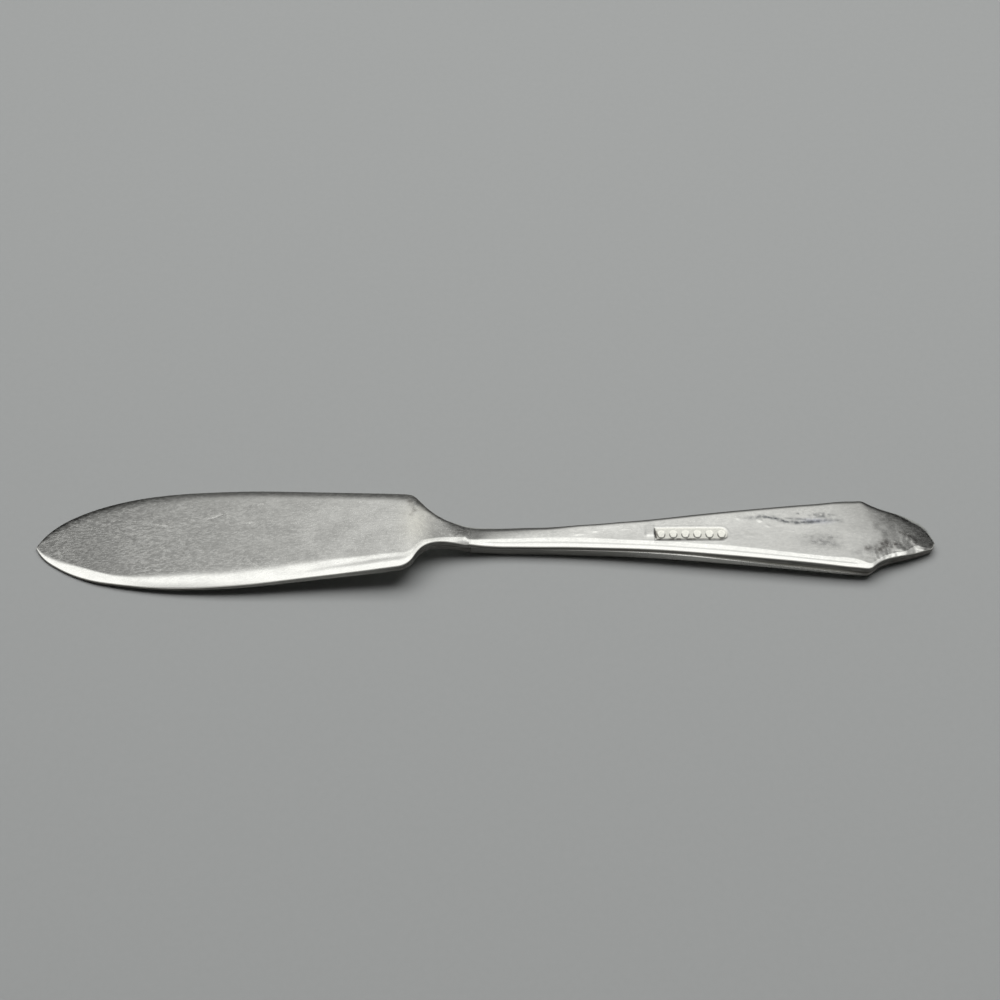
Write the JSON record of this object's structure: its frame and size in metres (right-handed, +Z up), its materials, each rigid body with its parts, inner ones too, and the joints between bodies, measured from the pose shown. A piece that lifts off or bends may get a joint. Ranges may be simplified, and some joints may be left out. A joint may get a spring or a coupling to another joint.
{
  "type": "butter spreader",
  "caption": "Flat-handled butter spreader lying back up: leaf-shaped blade with bevelled rim, narrow cranked neck, tapered handle with square shoulders and a turned-down ogee end.",
  "frame": {"origin": "table level under the middle of the spreader's length and width", "axes": "+X along the spreader from blade tip to handle end, +Y across it towards the spine side, +Z up out of the back, which faces up"},
  "size_m": [0.155, 0.0196, 0.0057],
  "materials": {
    "blade_silver": "worn silver plate with fine scratches",
    "handle_silver": "polished silver plate with light tarnish",
    "silver_solder": "satin silver solder"
  },
  "bodies": {
    "root": {"blade": "blade_silver", "handle": "handle_silver", "braze_seam": "silver_solder"}
  },
  "joints": []
}
